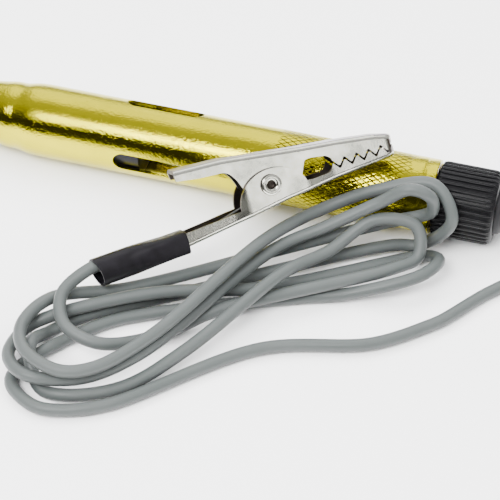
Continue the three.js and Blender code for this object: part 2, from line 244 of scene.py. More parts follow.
def turned(name: str, profile: Sequence[Station], rounding: float = 0.12, sides: int = 96,
           sharp: float = 40, place: Matrix | None = None) -> bpy.types.Object:
    """Makes a turned piece from the corners of its profile.

    Args:
        name: The piece's name.
        profile: Corners as (x, radius), round the whole section.
        rounding: How far each corner is rounded.
        sides: How many steps go round.
        sharp: The angle past which an edge stays sharp.
        place: The frame, or None for the tube's.

    Returns:
        The piece.
    """
    on_axis = profile[0][1] < 1e-6
    outline = fillet(profile, rounding, closed=not on_axis) if rounding else list(profile)
    return add_object(name, *revolve(outline, sides, closed=not on_axis), place=place, sharp=sharp)


def follow(path: np.ndarray, radius: float | Callable[[float], float], sides: int
           ) -> tuple[list[Point], list[tuple]]:
    """Sweeps a round section along a path without twisting it.

    Args:
        path: The path's points.
        radius: The section's radius, or a function of the share of the length gone.
        sides: The section's sides.

    Returns:
        The points and the faces, with both ends closed.
    """
    tangents = np.gradient(path, axis=0)
    tangents /= np.linalg.norm(tangents, axis=1, keepdims=True)
    across = np.cross(tangents[0], (0.0, 0.0, 1.0))
    if np.linalg.norm(across) < 0.2:
        across = np.cross(tangents[0], (0.0, 1.0, 0.0))
    verts: list[Point] = []
    angles = np.linspace(0, 2 * math.pi, sides, endpoint=False)
    for i, (spot, tangent) in enumerate(zip(path, tangents)):
        across = across - tangent * np.dot(across, tangent)
        across /= np.linalg.norm(across)
        other = np.cross(tangent, across)
        r = radius(i / (len(path) - 1)) if callable(radius) else radius
        for a in angles:
            verts.append(tuple(spot + r * (math.cos(a) * across + math.sin(a) * other)))
    return verts, ring_faces(len(path), sides)


def apply_modifiers(piece: bpy.types.Object) -> None:
    """Turns the evaluated mesh into the piece's own mesh, and takes its modifiers off."""
    graph = bpy.context.evaluated_depsgraph_get()
    mesh = bpy.data.meshes.new_from_object(piece.evaluated_get(graph))
    piece.modifiers.clear()
    piece.data = mesh


class Join(Enum):
    """How one solid changes another."""

    CUT = "DIFFERENCE"
    KEEP_SHARED = "INTERSECT"
    ADD = "UNION"


def combine(piece: bpy.types.Object, other: bpy.types.Object, how: Join) -> None:
    """Cuts, trims or joins a piece with another solid, which is then removed."""
    modifier = piece.modifiers.new("join", "BOOLEAN")
    modifier.operation = how.value
    modifier.solver = "EXACT"
    modifier.object = other
    bpy.context.view_layer.update()
    apply_modifiers(piece)
    bpy.data.objects.remove(other)


# ---------------------------------------------------------------- finishes


class Nodes:
    """A material's node tree, with short calls for the nodes that the finishes share."""

    def __init__(self, name: str) -> None:
        """Starts a material with one principled shader."""
        self.material = bpy.data.materials.new(name)
        self.material.use_nodes = True
        self.tree = self.material.node_tree
        self.shader = self.tree.nodes["Principled BSDF"]
        self.place = self.tree.nodes.new("ShaderNodeTexCoord").outputs["Object"]

    def link(self, source: bpy.types.NodeSocket, target: bpy.types.NodeSocket) -> None:
        """Links two sockets."""
        self.tree.links.new(source, target)

    def noise(self, scale: Point, detail: float = 3, rough: float = 0.55) -> bpy.types.NodeSocket:
        """Adds a noise pattern.

        Args:
            scale: How fast it changes along each axis, per metre.
            detail: The number of finer layers.
            rough: The strength of the finer layers.

        Returns:
            The noise's value socket.
        """
        mapping = self.tree.nodes.new("ShaderNodeMapping")
        mapping.inputs["Scale"].default_value = scale
        self.link(self.place, mapping.inputs["Vector"])
        noise = self.tree.nodes.new("ShaderNodeTexNoise")
        noise.inputs["Scale"].default_value = 1
        noise.inputs["Detail"].default_value = detail
        noise.inputs["Roughness"].default_value = rough
        self.link(mapping.outputs["Vector"], noise.inputs["Vector"])
        return noise.outputs["Fac"]

    def spread(self, value: bpy.types.NodeSocket, low: float, high: float,
               source: Station = (0.3, 0.7)) -> bpy.types.NodeSocket:
        """Maps a pattern's middle range onto two values and returns the new value."""
        node = self.tree.nodes.new("ShaderNodeMapRange")
        node.inputs["From Min"].default_value, node.inputs["From Max"].default_value = source
        node.inputs["To Min"].default_value = low
        node.inputs["To Max"].default_value = high
        self.link(value, node.inputs["Value"])
        return node.outputs["Result"]

    def blend(self, value: bpy.types.NodeSocket, first: Colour | bpy.types.NodeSocket,
              second: Colour) -> bpy.types.NodeSocket:
        """Mixes two colours by a value and returns the colour."""
        node = self.tree.nodes.new("ShaderNodeMix")
        node.data_type = "RGBA"
        if isinstance(first, bpy.types.NodeSocket):
            self.link(first, node.inputs["A"])
        else:
            node.inputs["A"].default_value = (*first, 1)
        node.inputs["B"].default_value = (*second, 1)
        self.link(value, node.inputs["Factor"])
        return node.outputs["Result"]

    def bump(self, height: bpy.types.NodeSocket, distance: float, strength: float,
             under: bpy.types.NodeSocket | None = None) -> bpy.types.NodeSocket:
        """Adds a bump of so many metres, over another one if given, and returns its normal."""
        node = self.tree.nodes.new("ShaderNodeBump")
        node.inputs["Distance"].default_value = distance
        node.inputs["Strength"].default_value = strength
        self.link(height, node.inputs["Height"])
        if under is not None:
            self.link(under, node.inputs["Normal"])
        return node.outputs["Normal"]

    def math(self, how: str, first: float | bpy.types.NodeSocket,
             second: float | bpy.types.NodeSocket) -> bpy.types.NodeSocket:
        """Adds a sum of two values, each a number or a socket, and returns the result."""
        node = self.tree.nodes.new("ShaderNodeMath")
        node.operation = how
        for socket, value in zip(node.inputs, (first, second)):
            if isinstance(value, bpy.types.NodeSocket):
                self.link(value, socket)
            else:
                socket.default_value = value
        return node.outputs["Value"]

    def set(self, **values: float) -> None:
        """Sets plain inputs of the shader, with underscores for spaces."""
        for key, value in values.items():
            self.shader.inputs[key.replace("_", " ")].default_value = value

    def feed(self, key: str, source: bpy.types.NodeSocket) -> None:
        """Links a pattern to one of the shader's inputs."""
        self.link(source, self.shader.inputs[key])


@dataclass(frozen=True)
class Metal:
    """A polished or brushed metal."""

    name: str
    colour: Colour
    shade: Colour
    roughness: Station = (0.2, 0.34)
    grain: Point = (260, 260, 260)
    lines: Point = (6000, 120, 120)
    depth: float = 0.00002

    def material(self) -> bpy.types.Material:
        """Builds the metal's material."""
        nodes = Nodes(self.name)
        patches = nodes.noise(self.grain)
        lines = nodes.noise(self.lines, detail=2)
        specks = nodes.noise((1800, 1800, 1800), detail=2)
        colour = nodes.blend(nodes.spread(patches, 0, 1), self.colour, self.shade)
        nodes.feed("Base Color", colour)
        nodes.feed("Roughness", nodes.spread(patches, *self.roughness))
        fine = nodes.bump(lines, self.depth, 0.5)
        nodes.feed("Normal", nodes.bump(specks, self.depth * 0.6, 0.35, fine))
        nodes.set(Metallic=1.0)
        return nodes.material


@dataclass(frozen=True)
class Moulded:
    """A moulded plastic, vinyl or rubber."""

    name: str
    colour: Colour
    shade: Colour
    roughness: Station = (0.35, 0.5)
    patch: Point = (180, 180, 180)
    pebble: float = 2400
    depth: float = 0.00002
    gloss: float = 0.5

    def material(self) -> bpy.types.Material:
        """Builds the plastic's material."""
        nodes = Nodes(self.name)
        patches = nodes.noise(self.patch)
        pebbles = nodes.noise((self.pebble,) * 3, detail=4)
        nodes.feed("Base Color", nodes.blend(nodes.spread(patches, 0, 1), self.colour, self.shade))
        nodes.feed("Roughness", nodes.spread(patches, *self.roughness))
        nodes.feed("Normal", nodes.bump(pebbles, self.depth, 0.4))
        nodes.set(Specular_IOR_Level=self.gloss)
        return nodes.material


@dataclass(frozen=True)
class TubeBrass:
    """The tube's lacquered brass, speckled where it was burnished, with near-black painted shade in the
    knurl's lines.
    """

    name: str = "tube_brass"
    colour: Colour = (0.60, 0.53, 0.006)
    shade: Colour = (0.52, 0.46, 0.006)
    # near-black painted shade laid into the knurl's grooves
    painted_groove_shade: Colour = (0.035, 0.02, 0.004)
    stain: Colour = (0.36, 0.27, 0.01)
    roughness: Station = (0.08, 0.14)
    speck_depth: float = 0.000085
    line_depth: float = 0.00005

    def material(self) -> bpy.types.Material:
        """Builds the brass."""
        nodes = Nodes(self.name)
        patches = nodes.noise((130, 300, 300))
        specks = nodes.noise((2100, 2100, 2100), detail=3)
        stains = nodes.noise((700, 700, 700), detail=4, rough=0.7)
        colour = nodes.blend(nodes.spread(patches, 0, 1), self.colour, self.shade)
        colour = nodes.blend(nodes.spread(stains, 0, 0.45, (0.62, 0.75)), colour, self.stain)
        lines = self.knurl(nodes)
        # the knurl's lines are darkened to near black as painted shade in the grooves
        nodes.feed("Base Color", nodes.blend(lines, colour, self.painted_groove_shade))
        rough = nodes.math("ADD", nodes.spread(patches, *self.roughness), nodes.math("MULTIPLY", lines, 0.3))
        nodes.feed("Roughness", rough)
        fine = nodes.bump(specks, self.speck_depth, 0.85)
        nodes.feed("Normal", nodes.bump(nodes.math("SUBTRACT", 1.0, lines), self.line_depth, 0.8, fine))
        nodes.set(Metallic=1.0)
        return nodes.material

    def knurl(self, nodes: Nodes) -> bpy.types.NodeSocket:
        """Gives the knurl's lines, 1 along the middle of each, from the place on the tube.

        Args:
            nodes: The material's nodes.

        Returns:
            The lines' value.
        """
        knurl = Knurl()
        split = nodes.tree.nodes.new("ShaderNodeSeparateXYZ")
        nodes.link(nodes.place, split.inputs["Vector"])
        x, y = split.outputs["X"], split.outputs["Y"]
        z = nodes.math("SUBTRACT", split.outputs["Z"], AXIS_Z * MM)
        round_it = nodes.math("MULTIPLY", nodes.math("ARCTAN2", z, y), BARREL_R * MM)
        out: list[bpy.types.NodeSocket] = []
        for way in (-1, 1):
            slant = nodes.math("MULTIPLY", x, way * knurl.slant)
            phase = nodes.math("DIVIDE", nodes.math("ADD", round_it, slant), knurl.pitch() * MM)
            place = nodes.math("ABSOLUTE", nodes.math("SUBTRACT", phase, nodes.math("ROUND", phase, 0)), 0)
            half = knurl.line_half / (knurl.pitch() * math.cos(math.atan(knurl.slant)))
            out.append(nodes.spread(place, 1, 0, (half * 0.55, half * 1.2)))
        both = nodes.math("MAXIMUM", *out)
        ends = nodes.noise((260, 260, 260), detail=0)
        first = nodes.math("SUBTRACT", x, nodes.spread(ends, knurl.start * MM, (knurl.start + 2) * MM))
        last = nodes.math("SUBTRACT", nodes.spread(ends, (knurl.end - 2) * MM, knurl.end * MM), x)
        inside = nodes.spread(nodes.math("MINIMUM", first, last), 0, 1, (0, 0.0006))
        squares = nodes.math("ADD", nodes.math("POWER", y, 2), nodes.math("POWER", z, 2))
        on_skin = nodes.math("POWER", squares, 0.5)
        skin = nodes.spread(on_skin, 0, 1, ((BARREL_R - 0.4) * MM, (BARREL_R - 0.35) * MM))
        wear = nodes.spread(nodes.noise((330, 330, 330), detail=1), 0.45, 1, (0.35, 0.5))
        drawn = nodes.math("MULTIPLY", both, inside)
        return nodes.math("MULTIPLY", drawn, nodes.math("MULTIPLY", skin, wear))


@dataclass(frozen=True)
class Knurl:
    """The knurl's layout on the tube."""

    start: float = 24.0
    end: float = 53.5
    starts: int = 40
    slant: float = math.tan(math.radians(30))
    line_half: float = 0.085

    def pitch(self) -> float:
        """Gives the distance between neighbouring lines, round the tube."""
        return 2 * math.pi * BARREL_R / self.starts


@dataclass(frozen=True)
class ClearGlass:
    """The lamp's thin clear glass."""

    name: str = "lamp_glass_clear"
    colour: Colour = (0.97, 0.98, 0.96)

    def material(self) -> bpy.types.Material:
        """Builds the glass's material."""
        nodes = Nodes(self.name)
        ripple = nodes.noise((500, 500, 500), detail=1)
        nodes.feed("Roughness", nodes.spread(ripple, 0.0, 0.04))
        nodes.feed("Normal", nodes.bump(ripple, 0.00001, 0.2))
        nodes.set(Transmission_Weight=1.0, IOR=1.46)
        nodes.shader.inputs["Base Color"].default_value = (*self.colour, 1)
        return nodes.material


BRASS = TubeBrass()
INNER_BRASS = Metal("contact_brass", (0.45, 0.33, 0.06), (0.34, 0.24, 0.04))
PROBE_STEEL = Metal("probe_steel", (0.50, 0.49, 0.47), (0.40, 0.39, 0.37), (0.18, 0.3),
                    lines=(400, 5000, 5000))
NICKEL = Metal("clip_nickel", (0.74, 0.73, 0.64), (0.58, 0.59, 0.50), (0.16, 0.30), (260, 260, 260),
               (2600, 2600, 2600), 0.000022)
# a darker copy of the clip's plate, painted shade and reflection for the back and nose end
NICKEL_BACK_PAINTED_SHADE = Metal("clip_nickel_back", (0.33, 0.305, 0.30), (0.27, 0.25, 0.245), (0.28, 0.4))
# near-black copy of the plate, painted shade for the inner faces, the rivet's hole and the foot of its heads
NICKEL_INSIDE_PAINTED_SHADE = Metal("clip_nickel_inside", (0.10, 0.085, 0.07), (0.05, 0.04, 0.035), (0.4, 0.55))
# bare steel of the cut edges, darkened to near black as painted shade for the gaps and edge lines
CUT_EDGE_PAINTED_SHADE = Metal("clip_cut_edge", (0.13, 0.10, 0.075), (0.06, 0.045, 0.035), (0.35, 0.5))
SPRING_STEEL = Metal("spring_steel", (0.35, 0.35, 0.35), (0.25, 0.25, 0.25), (0.25, 0.4))
COPPER = Metal("cord_copper", (0.62, 0.32, 0.16), (0.5, 0.24, 0.11), (0.25, 0.4))
CAP_BLACK = Moulded("cap_black", (0.0022, 0.0022, 0.0026), (0.004, 0.004, 0.0045), (0.3, 0.42), gloss=0.22)
INSULATOR_BLACK = Moulded("insulator_black", (0.003, 0.003, 0.006), (0.005, 0.005, 0.008), (0.3, 0.4),
                          gloss=0.2)
RUBBER = Moulded("relief_rubber", (0.008, 0.008, 0.009), (0.014, 0.014, 0.015), (0.45, 0.6), gloss=0.3)
SLEEVE_BLACK = Moulded("sleeve_black", (0.0026, 0.0022, 0.003), (0.005, 0.0044, 0.006), (0.32, 0.46),
                       (500, 500, 500), 1300, 0.00012, gloss=0.25)
GREY_VINYL = Moulded("cord_grey", (0.056, 0.064, 0.062), (0.068, 0.075, 0.073), (0.36, 0.48), (60, 60, 60),
                     1500, 0.00003, gloss=0.4)
LINING_WHITE = Moulded("lining_white", (0.42, 0.34, 0.20), (0.36, 0.28, 0.15), (0.4, 0.55))


Finish = Metal | Moulded | TubeBrass | ClearGlass


class Paint:
    """Keeps one material for each finish, and puts it on pieces."""

    made: dict[str, bpy.types.Material] = {}

    @classmethod
    def of(cls, finish: Finish) -> bpy.types.Material:
        """Gives the finish's material, made once."""
        if finish.name not in cls.made:
            cls.made[finish.name] = finish.material()
        return cls.made[finish.name]

    @classmethod
    def dress(cls, piece: bpy.types.Object, finish: Finish) -> None:
        """Puts one finish on a whole piece."""
        piece.data.materials.clear()
        piece.data.materials.append(cls.of(finish))
        piece.data.polygons.foreach_set("material_index", [0] * len(piece.data.polygons))


def settle(piece: bpy.types.Object, body: str, slot: str, *nodes: str) -> bpy.types.Object:
    """Gives a piece its body and hides the nodes that it stands for.

    Args:
        piece: The finished piece.
        body: The body that it moves with.
        slot: The record's material slot; not used.
        nodes: The plain solids that it replaces.

    Returns:
        The same piece.
    """
    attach(piece, body)
    if nodes:
        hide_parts(*nodes)
    LOG.info("%s: %d faces on %s", piece.name, len(piece.data.polygons), body)
    return piece


def furnish(piece: bpy.types.Object, finish: Finish, body: str, slot: str, *nodes: str) -> bpy.types.Object:
    """Dresses a piece in one finish, settles it and returns it."""
    Paint.dress(piece, finish)
    return settle(piece, body, slot, *nodes)


# ---------------------------------------------------------------- repeated shapes


class TreeKit:
    """Builds a geometry node tree with named inputs and runs it on an object."""

    def __init__(self, name: str, inputs: dict[str, str]) -> None:
        """Starts the tree.

        Args:
            name: The tree's name.
            inputs: Socket types by input name.
        """
        self.tree = bpy.data.node_groups.new(name, "GeometryNodeTree")
        self.tree.interface.new_socket("Geometry", in_out="OUTPUT", socket_type="NodeSocketGeometry")
        self.ids = {
            key: self.tree.interface.new_socket(key, in_out="INPUT", socket_type=kind).identifier
            for key, kind in inputs.items()
        }
        self.given = self.tree.nodes.new("NodeGroupInput").outputs
        self.out = self.tree.nodes.new("NodeGroupOutput")

    def node(self, kind: str, links: dict[str, bpy.types.NodeSocket], **values: object) -> bpy.types.Node:
        """Adds a node.

        Args:
            kind: The node's type, without its prefix.
            links: Sockets to link, by input name.
            values: Plain properties of the node.

        Returns:
            The node.
        """
        prefix = "" if kind.startswith("Shader") else "GeometryNode"
        node = self.tree.nodes.new(prefix + kind)
        for key, value in values.items():
            setattr(node, key, value)
        for key, source in links.items():
            self.tree.links.new(source, node.inputs[key])
        return node

    def finish(self, geometry: bpy.types.NodeSocket, material: bpy.types.Material) -> None:
        """Ends the tree in real geometry with its material."""
        real = self.node("RealizeInstances", {"Geometry": geometry})
        dressed = self.node("SetMaterial", {"Geometry": real.outputs["Geometry"]})
        dressed.inputs["Material"].default_value = material
        self.tree.links.new(dressed.outputs["Geometry"], self.out.inputs["Geometry"])

    def run(self, name: str, values: dict[str, object], place: Matrix, sharp: float = 50
            ) -> bpy.types.Object:
        """Runs the tree once and returns a plain piece.

        Args:
            name: The piece's name.
            values: The inputs' values, by name.
            place: Turns and moves the result, in millimetres.
            sharp: The angle past which an edge stays sharp.

        Returns:
            The piece, in metres at the origin.
        """
        piece = place_object(name, bpy.data.meshes.new(name))
        modifier = piece.modifiers.new("shape", "NODES")
        modifier.node_group = self.tree
        for key, value in values.items():
            modifier[self.ids[key]] = value
        bpy.context.view_layer.update()
        apply_modifiers(piece)
        piece.data.transform(Matrix.Scale(MM, 4) @ place)
        finish_mesh(piece.data, sharp)
        return piece


def rib_tree(material: bpy.types.Material) -> TreeKit:
    """Makes a tree that sets copies of a rib evenly round the X axis."""
    kit = TreeKit("ribs_round_a_cap", {"Rib": "NodeSocketObject", "Count": "NodeSocketInt"})
    seats = kit.node("MeshLine", {"Count": kit.given["Count"]})
    seats.inputs["Offset"].default_value = (0, 0, 0)
    index = kit.node("InputIndex", {})
    share = kit.node("ShaderNodeMath", {}, operation="DIVIDE")
    kit.tree.links.new(index.outputs[0], share.inputs[0])
    kit.tree.links.new(kit.given["Count"], share.inputs[1])
    angle = kit.node("ShaderNodeMath", {}, operation="MULTIPLY")
    kit.tree.links.new(share.outputs[0], angle.inputs[0])
    angle.inputs[1].default_value = 2 * math.pi
    turn = kit.node("ShaderNodeCombineXYZ", {"X": angle.outputs[0]})
    rib = kit.node("ObjectInfo", {"Object": kit.given["Rib"]})
    copies = kit.node("InstanceOnPoints", {
        "Points": seats.outputs["Mesh"],
        "Instance": rib.outputs["Geometry"],
        "Rotation": turn.outputs["Vector"],
    })
    kit.finish(copies.outputs["Instances"], material)
    return kit


def coil_tree(material: bpy.types.Material) -> TreeKit:
    """Makes a tree that winds a round wire into a coil along Z."""
    kit = TreeKit("wound_wire", {
        "Turns": "NodeSocketFloat",
        "Radius": "NodeSocketFloat",
        "Height": "NodeSocketFloat",
        "Wire": "NodeSocketFloat",
    })
    spiral = kit.node("CurveSpiral", {
        "Rotations": kit.given["Turns"],
        "Start Radius": kit.given["Radius"],
        "End Radius": kit.given["Radius"],
        "Height": kit.given["Height"],
    })
    spiral.inputs["Resolution"].default_value = 40
    section = kit.node("CurvePrimitiveCircle", {"Radius": kit.given["Wire"]})
    section.inputs["Resolution"].default_value = 12
    wound = kit.node("CurveToMesh", {
        "Curve": spiral.outputs["Curve"],
        "Profile Curve": section.outputs["Curve"],
    })
    wound.inputs["Fill Caps"].default_value = True
    kit.finish(wound.outputs["Mesh"], material)
    return kit


# ---------------------------------------------------------------- the studio


@dataclass(frozen=True)
class Softbox:
    """A soft square light, aimed at the object."""

    name: str
    azimuth: float
    elevation: float
    distance: float
    size: float
    watts: float
    mirrored: bool  # whether polished surfaces show it


@dataclass
class Studio:
    """Camera, floor and soft lights."""

    azimuth: float = 15.86
    elevation: float = 45.99
    distance: float = 0.4219
    aim: Point = (0.024553, -0.017206, 0.0)
    lens: float = 152.9
    sensor: float = 36.0
    lights: list[Softbox] = field(default_factory=lambda: [
        Softbox("key", -16, 55, 0.9, 0.26, 5.0, True),
        Softbox("clip_light", 50, 33, 0.9, 0.30, 0.9, True),
        Softbox("back", 190, 45, 1.1, 1.0, 6.0, True),
        Softbox("wash_front", -16, 55, 1.0, 0.6, 21.0, False),
        Softbox("wash_left", -80, 50, 1.0, 0.6, 10.0, False),
        Softbox("wash_right", 90, 50, 1.0, 0.6, 10.0, False),
        Softbox("wash_back", 190, 60, 1.1, 0.8, 16.0, False),
    ])

    def toward(self, azimuth: float, elevation: float) -> Vector:
        """Gives the direction from the aim to something at these angles in degrees."""
        a, e = math.radians(azimuth), math.radians(elevation)
        return Vector((math.sin(a) * math.cos(e), -math.cos(a) * math.cos(e), math.sin(e)))

    def look(self, thing: bpy.types.Object, azimuth: float, elevation: float, distance: float) -> None:
        """Puts a camera or a lamp at these angles, facing the aim."""
        direction = self.toward(azimuth, elevation)
        thing.location = Vector(self.aim) + direction * distance
        thing.rotation_euler = direction.to_track_quat("Z", "Y").to_euler()
        bpy.context.scene.collection.objects.link(thing)

    def build(self) -> None:
        """Makes the camera, the floor, the sky and the lights."""
        camera = bpy.data.objects.new("camera", bpy.data.cameras.new("camera"))
        camera.data.lens = self.lens
        camera.data.sensor_width = self.sensor
        camera.data.clip_start = 0.01
        self.look(camera, self.azimuth, self.elevation, self.distance)
        bpy.context.scene.camera = camera
        for box in self.lights:
            lamp = bpy.data.lights.new(box.name, "AREA")
            lamp.shape = "SQUARE"
            lamp.size = box.size
            lamp.energy = box.watts
            thing = bpy.data.objects.new(box.name, lamp)
            thing.visible_glossy = box.mirrored
            self.look(thing, box.azimuth, box.elevation, box.distance)
        self.floor()
        self.sky()

    def floor(self) -> None:
        """Lays a large pale floor."""
        half = 3.0
        mesh = bpy.data.meshes.new("floor")
        mesh.from_pydata([(-half, -half, 0), (half, -half, 0), (half, half, 0), (-half, half, 0)],
                         [], [(0, 1, 2, 3)])
        floor = place_object("floor", mesh)
        pale = Moulded("floor_pale", (0.93, 0.93, 0.93), (0.95, 0.95, 0.95), (0.7, 0.8), (5, 5, 5), 50, 0.0)
        Paint.dress(floor, pale)

    def sky(self) -> None:
        """Fills the room with light, dark low in front and bright above and behind."""
        world = bpy.data.worlds.new("room")
        bpy.context.scene.world = world
        world.use_nodes = True
        tree = world.node_tree
        background = tree.nodes["Background"]
        place = tree.nodes.new("ShaderNodeTexCoord")
        split = tree.nodes.new("ShaderNodeSeparateXYZ")
        ramp = tree.nodes.new("ShaderNodeValToRGB")
        slant = tree.nodes.new("ShaderNodeMath")
        slant.operation = "MULTIPLY_ADD"
        slant.inputs[1].default_value = 0.7
        tree.links.new(place.outputs["Generated"], split.inputs["Vector"])
        tree.links.new(split.outputs["Y"], slant.inputs[0])
        tree.links.new(split.outputs["Z"], slant.inputs[2])
        tree.links.new(slant.outputs["Value"], ramp.inputs["Fac"])
        tree.links.new(ramp.outputs["Color"], background.inputs["Color"])
        ends = ((0.1, (0.04, 0.04, 0.042, 1)), (0.85, (0.8, 0.8, 0.82, 1)))
        for element, (position, colour) in zip(ramp.color_ramp.elements, ends):
            element.position = position
            element.color = colour
        background.inputs["Strength"].default_value = 1.0


# ---------------------------------------------------------------- the clip's own frame


class ClipFrame:
    """The clip's frame: x to the nose, y from the lower jaw to the upper, z out of its near side."""

    origin = Vector((27.16, -14.87, 17))
    x_axis = Vector((0.806, 0.589, 0.066)).normalized()
    z_axis = x_axis.cross(Vector((-0.412, 0.477, 0.777))).normalized()
    y_axis = z_axis.cross(x_axis)
    matrix = Matrix((
        (x_axis.x, y_axis.x, z_axis.x, origin.x),
        (x_axis.y, y_axis.y, z_axis.y, origin.y),
        (x_axis.z, y_axis.z, z_axis.z, origin.z),
        (0, 0, 0, 1),
    ))


# ---------------------------------------------------------------- the cord


@dataclass
class Cord:
    """The free cord, from inside the cap to inside the clip's sleeve.

    The first twelve points of the route, out of the cap, were given one by one. The others came out of a
    relaxing and optimising program.
    """

    radius: float = 1.25
    sides: int = 20
    spacing: float = 0.9
    length: float = 0.97
    route: list[Point] = field(default_factory=lambda: [
        # out of the cap, down to the floor and round towards the clip
        (57, 0, 7.5), (88, 0, 7.5), (94, 0, 7.4), (99.5, -0.8, 6.5), (103.5, -3.4, 4.6), (104.5, -7.6, 2.7),
        (101.5, -11.4, 1.5), (96, -13, 1.3), (89, -12.6, 1.3), (82, -12, 1.3), (76.5, -13.2, 1.3),
        (72.5, -17, 1.3),
        # along the floor to the far left of the loops
        (65.5, -26.5, 1.5), (63.5, -28.5, 1.5), (54, -36, 1.5), (34, -43, 1.5), (10.5, -64, 1.5),
        (3, -67.5, 1.5), (-2.5, -68, 1.5), (-8.5, -64, 1.5), (-8.5, -60, 1.5),
        # first loop
        (3, -45.5, 1.5), (11.5, -40, 1.5), (38.5, -28, 1.5), (46, -25.5, 2), (59.5, -20, 5.5),
        (62, -15, 5), (61, -12.5, 3.5), (58, -11.5, 2), (30.5, -28, 2), (11, -38, 5), (-6, -48, 4),
        (-10, -51.5, 3), (-10.5, -59.5, 4), (-5.5, -64, 5), (4, -61, 3.5),
        # second loop, over the first and up to the tube
        (13, -54, 5), (31, -22, 7), (39.5, -16, 9.5), (49, -11, 14), (54.5, -10, 18), (58.5, -9.5, 16.5),
        (59, -9, 12.5), (57.5, -8.5, 10.5), (50.5, -10, 8),
        # third loop, its far end resting on the tube
        (33, -18.5, 4.5), (6, -36.5, 3.5), (-7, -45.5, 6), (-9.5, -54.5, 7), (-6.5, -60.5, 7.5),
        (1, -63, 7), (7, -60.5, 7), (15, -51, 8), (29.5, -22.5, 10), (38.5, -10.5, 9.5), (48, -7, 13.5),
        (58.5, -5.5, 16), (63, -9, 11), (57, -9, 2.5), (52, -10.5, 2.5),
        # fourth loop
        (16, -33, 1.5), (-1, -44.5, 1.5), (-6, -50, 1.5), (-7, -57, 5), (-3, -63.5, 1.5), (2, -64, 1.5),
        (12, -59, 1.5), (21, -49.5, 4), (34.5, -28, 7.5), (41, -19.5, 6.5), (48.5, -12.5, 10.5),
        (56.5, -11.5, 10), (58, -15.5, 6), (54, -19, 5),
        # over the others, back and up into the sleeve
        (24, -37.5, 3.5), (14.5, -45, 1.5), (5, -53, 5), (-2, -51.5, 6.5), (-4.5, -45.5, 8),
    ])
    end: list[Station] = field(default_factory=lambda: [(-37.6, -5.7), (-33.5, -5.55), (-29.2, -5.5)])

    def path(self) -> np.ndarray:
        """Gives the centreline in millimetres."""
        tail = [tuple(ClipFrame.matrix @ Vector((x, y, 0))) for x, y in self.end]
        return smooth_line([*self.route, *tail], self.spacing)

    def build(self) -> bpy.types.Object:
        """Makes the jacket as one round tube along the route."""
        path = self.path()
        piece = add_object("cord_jacket", *follow(path, self.radius, self.sides), place=Matrix(), sharp=60)
        return furnish(piece, GREY_VINYL, "root", "grey_vinyl", "cord")


# ---------------------------------------------------------------- the brass tube


